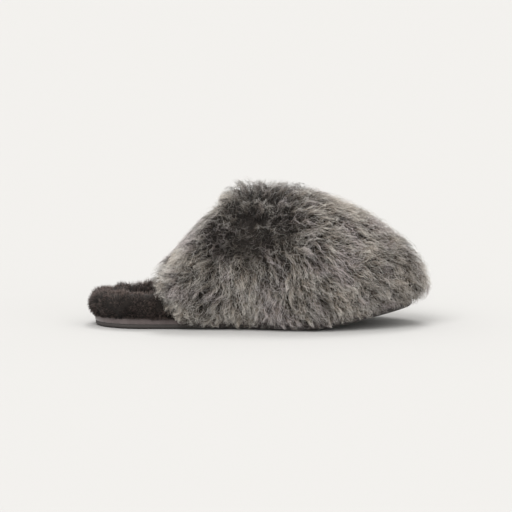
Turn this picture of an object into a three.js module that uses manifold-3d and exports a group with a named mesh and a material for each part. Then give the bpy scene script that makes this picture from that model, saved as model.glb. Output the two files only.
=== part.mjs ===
// A fluffy house slipper for the right foot: a closed toe under long wool, an open back with a low woolly heel collar,
// a sheepskin footbed and a thin moulded sole. Units are millimetres, +X points to the toe, +Y to the inner side of the
// foot and +Z up. The sole is a flat plate that turns up at the toe, and every layer above it follows that turn.
// The upper is a stack of shells that all follow one surface, the outside of the hide.
import * as THREE from "three";
import { mergeVertices } from "three/addons/utils/BufferGeometryUtils.js";
import Module from "manifold-3d";

const { Manifold, Mesh: SolidMesh } = await Module().then((wasm) => (wasm.setup(), wasm));

// Plan of the sole.
const soleLength = 264;
const perLength = soleLength / 264; // lengthwise sizes are given for a 264 mm sole and follow its length
const heelWidth = 70;
const waistWidth = 68;
const ballWidth = 98;
const toeWidth = 86; // width that the front of the sole would have without its rounded toe
const tipShift = 8; // how far the toe's tip lies towards the inner side
const heelRound = 40 * perLength; // length of the rounded stretch at the back
const outerToeRound = 76 * perLength; // length of the rounded stretch on the outer side of the toe
const innerToeRound = 58 * perLength;

// Turn-up of the toe: flat, then an arc, then straight.
const springStart = 170 * perLength;
const springRadius = 148 * perLength;
const springAngle = 10.8;

// Layers of the bottom, from the floor up.
const gap = 0.3; // between any two pieces that touch
const outsoleThickness = 3.8;
const edgeRoll = 3.4; // how far the outsole's bottom edge is rounded inwards
const treadDepth = 1.2;
const treadWidth = 2.4;
const treadPitch = 11;
const treadMargin = 8; // from the groove's end to the sole's edge
const wrapHeight = 4.2; // suede band round the midsole
const wrapThickness = 1.2;
const fillerThickness = 1;
const boardThickness = 1.5;
const foamThickness = 5;
const sockThickness = 1.1;
const bedPile = 7.5;
const toeRoom = 8; // by which the footbed's wool stops short of the lining's at the toe

// The hide's outer surface over the foot.
const ridgeHeight = 99; // of the hide above the floor, over the instep
const ridgeStart = 138 * perLength; // where the ridge starts to fall towards the toe
const ridgeRadius = 190 * perLength;
const ridgeAngle = 25;
const throatX = 113 * perLength; // top of the foot opening
const spineFrontX = 208 * perLength; // where the sides stop meeting on the ridge, and the toe's round front starts
const wingX = 74 * perLength; // where the opening's edge meets the sole
const wingReach = 17.5 * perLength; // how far the side's corner reaches back over that
const sideBulge = 4;
const archFullness = 0.85; // 1 is an ellipse, and less is boxier
const upperInset = 0.8; // from the sole's edge to the hide

// Layers of the upper, from the outside in.
const hideThickness = 1.3;
const puffThickness = 1;
const liningThickness = 1;
const liningPile = 7.6;
const liningRise = 3; // by which the lining's wool starts higher at the toe, where it leans inwards
const lastingMargin = 15; // width of the hide's edge that is turned in under the board
const furOverTop = 20; // depth of the long wool on the instep, square to the hide
const furOverToe = 15;
const furOverSide = 14;
const furHem = 5; // at the lower edge
const furDrop = 5.5; // how far it hangs below the hide's lower edge
const furOverhang = 13; // how far it hangs back over the opening's edge at the sides
const furAtThroat = 7; // and over the instep

// Edge binding of the foot opening.
const bindingDepth = 2.8;
const bindingProud = 0.8;
const bindingStart = 3.5; // above the hide's lower edge

// The heel collar: a strip of sheepskin folded over a stiff counter and a foam core.
const collarHeight = 15.5; // of the folded skin above the sole's top
const collarSkin = 1.2;
const counterThickness = 1;
const collarFoam = 5.3;
const collarPileOut = 6.8;
const collarPileTop = 6.8;
const collarPileIn = 6.3;

// Fineness of the meshes.
const outlineSteps = 64;
const upperRows = 13;
const rowBias = 1.25;
const upperColumns = 36;
const collarSteps = 24;
const wallSteps = 5;

const flareZ = outsoleThickness + gap + wrapHeight; // top of the wrapped midsole
const featherZ = flareZ + gap; // where the upper meets the sole
const boardZ = featherZ + fillerThickness + gap;
const foamZ = boardZ + boardThickness + gap;
const sockZ = foamZ + foamThickness + gap;
const bedPileZ = sockZ + sockThickness + gap;

const counterInset = upperInset + collarSkin + gap;
const coreInset = counterInset + counterThickness + gap;
const innerSkinInset = coreInset + collarFoam + gap;
const collarInset = innerSkinInset + collarSkin; // inner face of the collar's skin
const collarTopZ = featherZ + collarHeight;

const puffOffset = -hideThickness - gap;
const liningOffset = puffOffset - puffThickness - gap;
const liningPileOffset = liningOffset - liningThickness - 2 * gap;
const cavityOffset = liningPileOffset - liningPile; // tips of the lining's wool
const boardInset = upperInset - liningPileOffset;
const bindingGap = bindingDepth + 4 * gap; // room that the binding takes behind the hide's edge

const { smoothstep, lerp, degToRad } = THREE.MathUtils;

// Height gained by a line that is flat up to start, bends on an arc and goes on straight at the angle.
function ramp(x, start, radius, degrees) {
  const angle = degToRad(degrees);
  const along = Math.max(0, x - start);
  const arc = radius * Math.sin(angle);
  if (along < arc) return radius - Math.sqrt(radius * radius - along * along);
  return radius * (1 - Math.cos(angle)) + (along - arc) * Math.tan(angle);
}

const toeLift = (x) => ramp(x, springStart, springRadius, springAngle);
const ridgeZ = (x) => ridgeHeight - ramp(x, ridgeStart, ridgeRadius, ridgeAngle);

// Half the sole's width at a share of its length, before its ends are rounded.
function halfWidth(share) {
  const stations = [
    [0.16, heelWidth / 2],
    [0.42, waistWidth / 2],
    [0.7, ballWidth / 2],
    [1, toeWidth / 2],
  ];
  const next = Math.max(1, stations.findIndex(([at]) => share <= at));
  const [from, to] = [stations[next - 1], stations[next]];
  return lerp(from[1], to[1], smoothstep(share, from[0], to[0]));
}

// How far an elliptical end has opened at a distance from its tip.
function roundedEnd(distance, length) {
  const left = 1 - Math.min(distance / length, 1);
  return Math.sqrt(1 - left * left);
}

function rawOutline(angle) {
  const share = (1 - Math.cos(angle)) / 2;
  const outer = Math.sin(angle) > 0;
  const toeRound = outer ? outerToeRound : innerToeRound;
  const x = soleLength * share;
  const open = roundedEnd(x, heelRound) * roundedEnd(soleLength - x, toeRound);
  const middle = tipShift * smoothstep(share, 0.45, 1);
  return new THREE.Vector2(x, middle + halfWidth(share) * open * (outer ? -1 : 1));
}

function outlineNormal(angle) {
  const step = 0.01;
  const along = rawOutline(angle + step).sub(rawOutline(angle - step)).normalize();
  return new THREE.Vector2(along.y, -along.x);
}

// A point of the sole's outline, moved in from its edge. Angle 0 is the heel's back, pi the toe's tip, and the outer
// side lies between them.
const outline = (angle, inset = 0) => rawOutline(angle).addScaledVector(outlineNormal(angle), -inset);

// A ring of points round the sole at one inset and one height above the turned-up floor line.
function ring(inset, z) {
  return Array.from({ length: outlineSteps }, (_, i) => {
    const angle = (2 * Math.PI * i) / outlineSteps;
    const x = rawOutline(angle).x;
    const at = outline(angle, typeof inset === "function" ? inset(x) : inset);
    return new THREE.Vector3(at.x, at.y, z + toeLift(at.x));
  });
}

function geometryOf(points, faces) {
  const geometry = new THREE.BufferGeometry().setFromPoints(points);
  return mergeVertices(geometry.setIndex(faces.flat()), 1e-3);
}

// Two triangles for each cell between two rows of point numbers.
function strip(lower, upper, closed) {
  const cells = closed ? lower.length : lower.length - 1;
  return Array.from({ length: cells }, (_, i) => {
    const j = (i + 1) % lower.length;
    return [lower[i], lower[j], upper[j], lower[i], upper[j], upper[i]];
  }).flat();
}

// The face across a ring, made of strips from the outer side to the inner side, so that it follows the turned-up toe.
function acrossRing(numbers, flipped) {
  const half = numbers.length / 2;
  const faces = [];
  for (let i = 0; i < half; i++) {
    const [a, b] = [numbers[i], numbers[i + 1]];
    const [c, d] = [numbers[(numbers.length - i - 1) % numbers.length], numbers[(numbers.length - i) % numbers.length]];
    if (b !== c) faces.push(a, b, c);
    if (a !== d) faces.push(a, c, d);
  }
  if (flipped) faces.reverse();
  return faces;
}

const numbered = (rows) => {
  let count = 0;
  return rows.map((row) => row.map(() => count++));
};

// A plate in the sole's outline, from a list of [inset, height] that climbs its edge.
function plate(profile) {
  const rings = profile.map(([inset, z]) => ring(inset, z));
  const at = numbered(rings);
  const faces = [acrossRing(at[0], true), acrossRing(at.at(-1), false)];
  for (let i = 1; i < rings.length; i++) faces.push(strip(at[i - 1], at[i], true));
  return geometryOf(rings.flat(), faces);
}

// A band round the sole's outline, from a closed list of [inset, height].
function band(profile) {
  const rings = profile.map(([inset, z]) => ring(inset, z));
  const at = numbered(rings);
  const faces = at.map((row, i) => strip(row, at[(i + 1) % at.length], true));
  return geometryOf(rings.flat(), faces);
}

const wingAngle = Math.acos(1 - (2 * wingX) / soleLength);

// How far the opening's edge is moved back from a plain arch, by its share of the arch's height.
const wingCurve = (share) => -wingReach * Math.sin(Math.PI * Math.pow(share, 0.7));

// The hide's outer surface. u climbs from the sole's edge, 0, to the ridge, 1, and v goes round the toe from the outer
// side of the opening, 0, to the inner side, 1. Each column is a quarter arch from the sole's edge to the ridge.
function hidePoint(u, v) {
  const side = Math.abs(2 * v - 1);
  const angle = lerp(wingAngle, 2 * Math.PI - wingAngle, v);
  const foot = outline(angle, upperInset);
  const turn = Math.min((u * Math.PI) / 2, Math.PI / 2);
  const rise = Math.pow(Math.sin(turn), archFullness);
  const inwards = 1 - Math.pow(Math.max(Math.cos(turn), 0), archFullness);
  const topX = lerp(spineFrontX, throatX, Math.pow(side, 1.15));
  const topY = tipShift * 0.6 * smoothstep(topX, throatX, soleLength);
  const forwards = lerp(inwards, Math.sin(turn) ** 2, side ** 3);
  const swell = sideBulge * Math.sin(2 * turn);
  const out = outlineNormal(angle);
  const back = wingCurve(rise) * smoothstep(side, 0.55, 1);
  const x = lerp(foot.x, topX, forwards) + out.x * swell + back;
  const y = lerp(foot.y, topY, inwards) + out.y * swell;
  const footZ = featherZ + toeLift(foot.x);
  return new THREE.Vector3(x, y, lerp(footZ, ridgeZ(x), rise));
}

function oneNormal(u, v) {
  const step = 0.004;
  const [u0, u1] = [Math.max(u - step, 0), Math.min(u + step, 1)];
  const [v0, v1] = [Math.max(v - step, 0), Math.min(v + step, 1)];
  const up = hidePoint(u1, v).sub(hidePoint(u0, v));
  const round = hidePoint(u, v1).sub(hidePoint(u, v0));
  return round.cross(up).normalize();
}

// The hide's normal, which both sides share on the ridge.
function hideNormal(u, v) {
  const foot = outlineNormal(lerp(wingAngle, 2 * Math.PI - wingAngle, v));
  if (u <= 0) return new THREE.Vector3(foot.x, foot.y, 0);
  const normal = oneNormal(Math.min(u, 0.999), v);
  return u < 1 ? normal : normal.add(oneNormal(0.999, 1 - v)).normalize();
}

// A point at an offset from the hide's outer surface. Below u = 0 the surface drops straight down past the sole's edge.
function onHide(u, v, offset) {
  const at = hidePoint(Math.max(u, 0), v).addScaledVector(hideNormal(u, v), offset);
  at.z += Math.min(u, 0) * furDrop;
  return at;
}

// The u at which a column has climbed this far above the sole's edge.
function climbed(rise, v) {
  const foot = hidePoint(0, v);
  const share = Math.min(rise / (ridgeZ(foot.x) - foot.z), 1);
  return (Math.asin(Math.pow(share, 1 / archFullness)) * 2) / Math.PI;
}

// A closed shell between two grids of points, with the ridge's two sides merged where the grid reaches it.
function shell(inner, outer, meetsOnRidge) {
  const rows = [...inner, ...outer];
  const at = numbered(rows);
  const [inside, outside] = [at.slice(0, inner.length), at.slice(inner.length)];
  const faces = [];
  for (let i = 1; i < inner.length; i++) {
    faces.push(strip(outside[i - 1], outside[i], false));
    faces.push(strip(inside[i], inside[i - 1], false));
  }
  faces.push(strip(inside[0], outside[0], false));
  if (!meetsOnRidge) faces.push(strip(outside.at(-1), inside.at(-1), false));
  const first = (grid) => grid.map((row) => row[0]);
  const last = (grid) => grid.map((row) => row.at(-1));
  faces.push(strip(first(outside), first(inside), false));
  faces.push(strip(last(inside), last(outside), false));
  return geometryOf(rows.flat(), faces);
}

// u of each row from a start up to the ridge, closer together near the sole, where the opening's edge curves most.
const climb = (start) => Array.from({ length: upperRows + 1 }, (_, i) => lerp(start, 1, (i / upperRows) ** rowBias));

// Rows of points over the upper: at(u, v) for each cell corner, with u from its start in each column up to the ridge.
function upperGrid(start, at) {
  const columns = Array.from({ length: upperColumns + 1 }, (_, j) => j / upperColumns);
  const heights = columns.map((v) => climb(start(v)));
  return heights[0].map((_, i) => columns.map((v, j) => at(heights[j][i], v)));
}

function upperLayer(offset, thickness, start) {
  return shell(
    upperGrid(start, (u, v) => onHide(u, v, offset - thickness)),
    upperGrid(start, (u, v) => onHide(u, v, offset)),
    true,
  );
}

// The hide: its wall, and its lower edge turned in flat under the board.
function vampHide() {
  const turnedIn = (z, inset) =>
    Array.from({ length: upperColumns + 1 }, (_, j) => {
      const angle = lerp(wingAngle, 2 * Math.PI - wingAngle, j / upperColumns);
      const at = outline(angle, inset);
      return new THREE.Vector3(at.x, at.y, z + toeLift(at.x));
    });
  const outer = upperGrid(() => 0, (u, v) => onHide(u, v, 0));
  const inner = upperGrid(() => 0, (u, v) => onHide(u, v, -hideThickness));
  inner[0].forEach((at) => (at.z += fillerThickness));
  outer.unshift(turnedIn(featherZ, lastingMargin));
  inner.unshift(turnedIn(featherZ + fillerThickness, lastingMargin));
  return shell(inner, outer, true);
}

// Depth of the long wool, square to the hide.
function furDepth(u, v) {
  const side = Math.abs(2 * v - 1);
  const top = lerp(furOverToe, furOverTop, smoothstep(side, 0.15, 0.8));
  const edge = lerp(1, 0.68, smoothstep(side, 0.8, 1) * smoothstep(u, 0.4, 1));
  const body = lerp(furOverSide, top, smoothstep(u, 0.25, 0.9)) * edge;
  return lerp(furHem, lerp(furOverToe, body, smoothstep(side, 0, 0.35)), smoothstep(u, -0.9, 0.28));
}

// The long wool's volume. Its tips hang over the sole's edge and back over the opening's edge.
function vampFur() {
  const root = (u) => lerp(upperInset + 2 * gap, gap, smoothstep(u, 0.02, 0.2));
  const hang = (u, v) => {
    const at = onHide(u, v, furDepth(u, v));
    const edge = smoothstep(Math.abs(2 * v - 1), 0.86, 1);
    const reach = lerp(furOverhang * 0.55, furOverhang, smoothstep(u, 0, 0.3));
    at.x -= edge * lerp(reach, furAtThroat, smoothstep(u, 0.6, 1));
    return at;
  };
  const inner = upperGrid(() => 0, (u, v) => onHide(u, v, root(u)));
  const outer = upperGrid(() => 0, hang);
  inner.unshift(inner[0].map((_, j) => onHide(-1, j / upperColumns, root(0))));
  outer.unshift(outer[0].map((_, j) => hang(-1, j / upperColumns)));
  return shell(inner, outer, true);
}

// The stiffener between hide and lining, over the front of the toe only.
function toePuff() {
  const [from, to] = [0.3, 0.7];
  const grid = (offset) =>
    Array.from({ length: 7 }, (_, i) =>
      Array.from({ length: 17 }, (_, j) => onHide(lerp(0.12, 0.6, i / 6), lerp(from, to, j / 16), offset)),
    );
  return shell(grid(puffOffset - puffThickness), grid(puffOffset), false);
}

// Sweeps a solid through a list of sections. Each section is a loop whose second half runs back along its first, so
// that an end is closed by a strip between the halves.
function sweep(sections) {
  const at = numbered(sections);
  const half = sections[0].length / 2;
  const end = (loop) => strip(loop.slice(0, half), loop.slice(half).reverse(), false);
  const faces = at.slice(1).map((loop, i) => strip(at[i], loop, true));
  return geometryOf(sections.flat(), [...faces, end(at[0]).reverse(), end(at.at(-1))]);
}

// The folded binding that runs along the opening's edge, up the outer side, over the instep and down the inner side.
function toplineBinding() {
  const middle = (bindingProud + liningPileOffset) / 2;
  const reach = (bindingProud - liningPileOffset) / 2;
  const shape = [
    [2 * gap, -1],
    [2 * gap, 1],
    [bindingDepth * 0.6, 1],
    [bindingDepth, 0.5],
    [bindingDepth, -0.5],
    [bindingDepth * 0.6, -1],
  ].map(([back, side]) => new THREE.Vector2(back, middle + side * reach));
  const section = (u, v) => {
    const normal = hideNormal(u, v);
    const inwards = hidePoint(u, Math.abs(v - 0.01)).sub(hidePoint(u, v));
    const other = hidePoint(u, Math.abs(1 - v - 0.01)).sub(hidePoint(u, 1 - v));
    if (u === 1) inwards.add(other);
    const back = inwards.addScaledVector(normal, -inwards.dot(normal)).normalize().negate();
    return shape.map(({ x, y }) => hidePoint(u, v).addScaledVector(back, x).addScaledVector(normal, y));
  };
  const start = climbed(bindingStart, 0);
  const rows = climb(start);
  const innerSide = rows.map((u) => section(u, 1));
  const outerSide = rows.slice(0, -1).reverse().map((u) => section(u, 0));
  return sweep([...innerSide, ...outerSide]);
}

// x of the opening's edge on the hide at a height above the floor.
function edgeX(z) {
  const share = Math.min(Math.max((z - featherZ) / (ridgeHeight - featherZ), 0), 1);
  const turn = Math.asin(Math.pow(share, 1 / archFullness));
  return lerp(wingX, throatX, Math.sin(turn) ** 2) + wingCurve(share);
}

// A piece of the heel collar: a closed [inset, height] profile swept round the heel from the inner side to the outer
// side. Its two ends follow the opening's edge, a set distance behind it.
function collarPiece(profile, behind) {
  const section = (share) =>
    profile.map(([inset, z]) => {
      const end = Math.acos(1 - (2 * (edgeX(z) - behind)) / soleLength);
      const at = outline(end * share, inset);
      return new THREE.Vector3(at.x, at.y, z);
    });
  const steps = Array.from({ length: collarSteps + 1 }, (_, i) => 1 - (2 * i) / collarSteps);
  return sweep(steps.map(section));
}

// Points up or down a straight wall, without its last.
function wall(inset, from, to, steps) {
  return Array.from({ length: steps }, (_, i) => [inset, lerp(from, to, i / steps)]);
}

// Points of a [inset, height] arc from one angle to another, in degrees; 0 points to a smaller inset, 90 up.
function arc(inset, z, acrossRadius, upRadius, from, to, steps) {
  return Array.from({ length: steps + 1 }, (_, i) => {
    const turn = degToRad(lerp(from, to, i / steps));
    return [inset - Math.cos(turn) * acrossRadius, z + Math.sin(turn) * upRadius];
  });
}

const collarMiddle = (upperInset + collarInset) / 2;
const collarReach = (collarInset - upperInset) / 2;
const shoulderZ = collarTopZ - collarReach; // where the folded skin starts to curve over

// The folded strip of skin: up the outside, over the top and down the inside.
function heelCollarSkin() {
  const inner = collarReach - collarSkin;
  return collarPiece(
    [
      ...wall(upperInset, featherZ, shoulderZ, wallSteps),
      ...arc(collarMiddle, shoulderZ, collarReach, collarReach, 0, 180, 6),
      [collarInset, foamZ],
      [collarInset - collarSkin, foamZ],
      ...arc(collarMiddle, shoulderZ, inner, inner, 180, 0, 6),
      ...wall(upperInset + collarSkin, featherZ, shoulderZ, wallSteps).reverse(),
    ],
    bindingGap,
  );
}

function heelCounter() {
  return collarPiece(
    [
      ...wall(counterInset, featherZ, shoulderZ, wallSteps),
      [counterInset, shoulderZ],
      [counterInset + counterThickness, shoulderZ],
      ...wall(counterInset + counterThickness, featherZ, shoulderZ, wallSteps).reverse(),
    ],
    bindingGap + gap,
  );
}

function heelCollarFoam() {
  const reach = collarFoam / 2;
  return collarPiece(
    [
      ...wall(coreInset, foamZ, shoulderZ, 2),
      ...arc(coreInset + reach, shoulderZ, reach, reach, 0, 180, 5),
      ...wall(coreInset + collarFoam, foamZ, shoulderZ, 2).reverse(),
    ],
    bindingGap + gap,
  );
}

// The collar's short wool: a fat roll over the folded skin.
function heelCollarWool() {
  const skinReach = collarReach + gap;
  const top = skinReach + collarPileTop;
  const outside = upperInset - gap;
  const inside = collarInset + gap;
  return collarPiece(
    [
      [outside, featherZ + 1],
      [outside - collarPileOut * 0.55, featherZ + 2.5],
      [outside - collarPileOut * 0.92, featherZ + 6.5],
      ...arc(collarMiddle, shoulderZ, skinReach + collarPileOut, top, 0, 90, 4),
      ...arc(collarMiddle, shoulderZ, skinReach + collarPileIn, top, 110, 180, 3),
      [inside + collarPileIn, bedPileZ],
      [inside, bedPileZ],
      ...arc(collarMiddle, shoulderZ, skinReach, skinReach, 180, 0, 10),
      ...wall(outside, featherZ + 1, shoulderZ, 2).reverse().slice(0, -1),
    ],
    bindingGap + gap,
  );
}

// Space inside the heel collar or inside the upper, as an inset from the sole's edge.
const bedInset = (atHeel, atToe) => (x) => lerp(atHeel, atToe, smoothstep(x, wingX + 3, wingX + 28));

function solidOf(geometry) {
  const bare = geometry.clone();
  bare.deleteAttribute("normal");
  bare.deleteAttribute("uv");
  const merged = mergeVertices(bare, 1e-4);
  return new Manifold(
    new SolidMesh({
      numProp: 3,
      vertProperties: merged.attributes.position.array,
      triVerts: new Uint32Array(merged.index.array),
    }),
  );
}

function geometryFrom(solid) {
  const { vertProperties, triVerts } = solid.getMesh();
  return new THREE.BufferGeometry()
    .setAttribute("position", new THREE.BufferAttribute(vertProperties, 3))
    .setIndex(new THREE.BufferAttribute(triVerts, 1));
}

// The outsole: a plate with a rolled lower edge, and shallow grooves across the heel and the ball.
function outsole() {
  let body = solidOf(
    plate([
      [edgeRoll, 0],
      [edgeRoll * 0.45, outsoleThickness * 0.16],
      [edgeRoll * 0.12, outsoleThickness * 0.45],
      [0, outsoleThickness],
    ]),
  );
  const pocket = solidOf(
    plate([
      [treadMargin, -1],
      [treadMargin, treadDepth],
    ]),
  );
  const groups = [
    [0.07, 0.25],
    [0.46, 0.9],
  ];
  for (const [from, to] of groups) {
    for (let x = from * soleLength; x <= to * soleLength; x += treadPitch) {
      const slab = new THREE.BoxGeometry(treadWidth, 2 * ballWidth, 20).translate(x, 0, 8);
      body = body.subtract(solidOf(slab).intersect(pocket));
    }
  }
  return geometryFrom(body);
}

// The footbed's wool, inside the wool of the collar and of the lining.
function footbedWool() {
  const atSides = bedInset(collarInset + collarPileIn + 2 * gap, upperInset - cavityOffset + 2 * gap);
  const inset = (x) => atSides(x) + toeRoom * smoothstep(x, soleLength * 0.72, soleLength * 0.9);
  return plate([
    [inset, bedPileZ],
    [inset, bedPileZ + bedPile * 0.7],
    [(x) => inset(x) + 2, bedPileZ + bedPile],
  ]);
}

// The filler lies inside the turned-in edge of the hide, from the opening forwards.
function bottomFiller() {
  const inset = lastingMargin + 2 * gap;
  return plate([
    [inset, featherZ],
    [inset, featherZ + fillerThickness],
  ]);
}

// Where the lining's wool starts in each column, just over the footbed.
function overBed(v) {
  const toe = smoothstep(1 - Math.abs(2 * v - 1), 0.4, 1);
  return climbed(bedPileZ - featherZ + liningRise * toe, v);
}

const flat = (inset, z, thickness) =>
  plate([
    [inset, z],
    [inset, z + thickness],
  ]);

const wovenWrap = band([
  [0, outsoleThickness + gap],
  [0, flareZ],
  [wrapThickness, flareZ],
  [wrapThickness, outsoleThickness + gap],
]);

const bedEdge = bedInset(collarInset + gap, boardInset + gap);

const pieces = {
  outsole: [outsole(), "#4b4745", 0.85],
  midsole: [flat(wrapThickness + gap, outsoleThickness + gap, wrapHeight), "#2f2d2c", 0.9],
  sole_wrap: [wovenWrap, "#6a6160", 0.95],
  bottom_filler: [bottomFiller(), "#8c8577", 0.95],
  insole_board: [flat(boardInset, boardZ, boardThickness), "#a08f76", 0.9],
  footbed_foam: [flat(bedEdge, foamZ, foamThickness), "#d8d2c4", 0.95],
  footbed_skin: [flat(bedEdge, sockZ, sockThickness), "#5b504b", 0.9],
  footbed_wool: [footbedWool(), "#352d2a", 1],
  heel_counter: [heelCounter(), "#bdb7ab", 0.8],
  heel_collar_foam: [heelCollarFoam(), "#d8d2c4", 0.95],
  heel_collar_skin: [heelCollarSkin(), "#5b504b", 0.9],
  heel_collar_wool: [heelCollarWool(), "#352d2a", 1],
  vamp_lining_wool: [upperLayer(liningPileOffset, liningPile, overBed), "#352d2a", 1],
  vamp_lining_skin: [upperLayer(liningOffset, liningThickness, (v) => climbed(3, v)), "#5b504b", 0.9],
  toe_puff: [toePuff(), "#bdb7ab", 0.8],
  vamp_hide: [vampHide(), "#5b504b", 0.9],
  vamp_fur: [vampFur(), "#7d7771", 1],
  topline_binding: [toplineBinding(), "#4a4341", 0.95],
};

const slipper = new THREE.Group();
for (const [name, [geometry, colour, roughness]] of Object.entries(pieces)) {
  const mesh = new THREE.Mesh(geometry, new THREE.MeshStandardMaterial({ color: colour, roughness, metalness: 0 }));
  mesh.name = name;
  slipper.add(mesh);
}

// The origin is on the floor, under the middle of the slipper's box.
const box = new THREE.Box3().setFromObject(slipper);
const centre = box.getCenter(new THREE.Vector3());
slipper.position.set(-centre.x, -centre.y, -box.min.z);

export default slipper;
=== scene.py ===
"""A fluffy house slipper: long combed sheepskin over the foot, short sheared wool inside and round the heel, and a thin
moulded sole with a suede band. The shapes are worked out in millimetres, in the sole's own coordinates: x from the
heel's back to the toe, y to the inner side of the foot, z up from the floor."""

import math

import bpy
import numpy as np
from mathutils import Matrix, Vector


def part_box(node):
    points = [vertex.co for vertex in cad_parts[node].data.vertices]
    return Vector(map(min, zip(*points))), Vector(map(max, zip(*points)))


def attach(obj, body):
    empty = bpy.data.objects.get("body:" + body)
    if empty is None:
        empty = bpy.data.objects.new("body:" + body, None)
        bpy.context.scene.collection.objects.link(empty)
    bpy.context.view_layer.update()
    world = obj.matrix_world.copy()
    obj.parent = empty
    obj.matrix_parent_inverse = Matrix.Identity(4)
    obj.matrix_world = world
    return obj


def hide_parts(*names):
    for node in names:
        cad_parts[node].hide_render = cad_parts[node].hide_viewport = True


bl_info = {
    "name": "Fluffy house slipper",
    "version": (1, 0, 0),
    "blender": (4, 5, 0),
    "location": "View3D > Sidebar > Slipper",
    "description": "Builds a sheepskin house slipper round its packed frame",
    "category": "Add Mesh",
}

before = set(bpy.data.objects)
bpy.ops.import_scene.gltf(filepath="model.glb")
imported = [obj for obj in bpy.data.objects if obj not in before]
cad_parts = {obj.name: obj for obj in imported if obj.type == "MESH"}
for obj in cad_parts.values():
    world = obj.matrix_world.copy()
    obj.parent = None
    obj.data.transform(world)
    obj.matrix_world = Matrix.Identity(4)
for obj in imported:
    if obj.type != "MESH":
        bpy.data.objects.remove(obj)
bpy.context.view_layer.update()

MM = 0.001

# The sole's plan and turn-up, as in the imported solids.
SOLE_LENGTH = 264.0
HEEL_WIDTH = 70.0
WAIST_WIDTH = 68.0
BALL_WIDTH = 98.0
TOE_WIDTH = 86.0
HEEL_END, WAIST, BALL = 0.16, 0.42, 0.7  # as shares of the length
TIP_SHIFT = 8.0
HEEL_ROUND = 40.0
OUTER_TOE_ROUND = 76.0
INNER_TOE_ROUND = 58.0
SPRING = (170.0, 148.0, 10.8)  # start, radius and final angle of the toe's turn-up

# Heights and thicknesses.
GAP = 0.3  # between layers that are glued in the real shoe
OUTSOLE = 3.8
EDGE_ROLL = 3.4
EDGE_ROLL_HEIGHT = 0.55  # of the roll's width
TREAD_DEPTH = 1.2
TREAD_WIDTH = 2.4
TREAD_PITCH = 11.0
TREAD_MARGIN = 8.0
TREAD_ZONES = ((0.07, 0.26), (0.46, 0.91))  # heel and ball, as shares of the length
WRAP_HEIGHT = 4.2
WRAP_THICKNESS = 1.2
FLARE_Z = OUTSOLE + GAP + WRAP_HEIGHT
FEATHER_Z = FLARE_Z + GAP
FILLER = 1.0
BOARD = 1.5
CUSHION = 5.0
BED_SKIN = 1.1
FOAM_Z = FEATHER_Z + FILLER + GAP + BOARD + GAP
BED_Z = FOAM_Z + CUSHION + GAP + BED_SKIN + GAP
BED_PILE = 7.5

# The hide's outer surface.
RIDGE_HEIGHT = 99.0
RIDGE = (138.0, 190.0, 25.0)  # start, radius and final angle of its fall to the toe
THROAT_X = 113.0
SPINE_FRONT_X = 208.0
WING_X = 74.0
WING_REACH = 17.5
SIDE_BULGE = 4.0
ARCH_FULLNESS = 0.85
UPPER_INSET = 0.8
LINING_OFFSET = -4.5  # of the lining's skin side, where its wool is rooted
LINING_PILE = 7.6

# The heel collar.
COLLAR_SKIN = 1.2
COUNTER = 1.0
COLLAR_FOAM = 5.3
COLLAR_HEIGHT = 15.5
COLLAR_INSET = UPPER_INSET + COLLAR_SKIN + GAP + COUNTER + GAP + COLLAR_FOAM + GAP + COLLAR_SKIN
COLLAR_MIDDLE = (UPPER_INSET + COLLAR_INSET) / 2
COLLAR_REACH = (COLLAR_INSET - UPPER_INSET) / 2
SHOULDER_Z = FEATHER_Z + COLLAR_HEIGHT - COLLAR_REACH
COLLAR_PILE = 6.8
COLLAR_CLEAR = 3.5  # between the collar's ends and the opening's edge

WING_ANGLE = math.acos(1 - 2 * WING_X / SOLE_LENGTH)
STEP = 0.01  # along a curve or over the hide, where a direction is measured
FINE_STEP = 0.004


# Small helpers on arrays.


def smooth(x, low, high):
    """0 below low, 1 above high, and a smooth S between them."""
    t = np.clip((x - low) / (high - low), 0, 1)
    return t * t * (3 - 2 * t)


def mix(a, b, t):
    """a where t is 0, b where t is 1."""
    return a + (b - a) * t


def unit(v):
    """Vectors along the last axis, scaled to length 1."""
    return v / np.maximum(np.linalg.norm(v, axis=-1, keepdims=True), 1e-9)


def xyz(x, y, z):
    """Three arrays as one array of points."""
    return np.stack(np.broadcast_arrays(x, y, z), axis=-1).astype(float)


def grid(rows, columns):
    """Two lists of values spread over one grid, the first changing from row to row."""
    return np.meshgrid(rows, columns, indexing="ij")


def dot(a, b):
    """Row by row dot product, kept as a column."""
    return np.sum(a * b, axis=-1, keepdims=True)


def ramp(x, start, radius, degrees):
    """Height gained by a line that is flat up to start, bends on an arc and goes on straight."""
    angle = math.radians(degrees)
    along = np.maximum(0, x - start)
    arc = radius * math.sin(angle)
    bent = radius - np.sqrt(np.maximum(radius**2 - np.minimum(along, arc) ** 2, 0))
    return bent + np.maximum(along - arc, 0) * math.tan(angle)


def waves(p, size, seed):
    """Soft noise of about -1 to 1 at points p: a sum of sines in random directions, with a wavelength of about size."""
    rng = np.random.default_rng(seed)
    total = np.zeros(p.shape[:-1])
    for _ in range(7):
        way = unit(rng.normal(size=3)) * (2 * np.pi / (size * rng.uniform(0.7, 1.5)))
        total += np.sin(p @ way + rng.uniform(0, 2 * np.pi))
    return total / 2.6


def bump(points, middle, reach):
    """1 at a middle, falling as a bell to nearly 0 at twice the reach, which may differ with the axis."""
    return np.exp(-np.sum(((points - middle) / reach) ** 2, axis=-1))


def toe_lift(x):
    """Turn-up of the sole at x."""
    return ramp(x, *SPRING)


def ridge_z(x):
    """Height of the hide's ridge at x."""
    return RIDGE_HEIGHT - ramp(x, *RIDGE)


# The sole's outline and the hide's surface.


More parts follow.
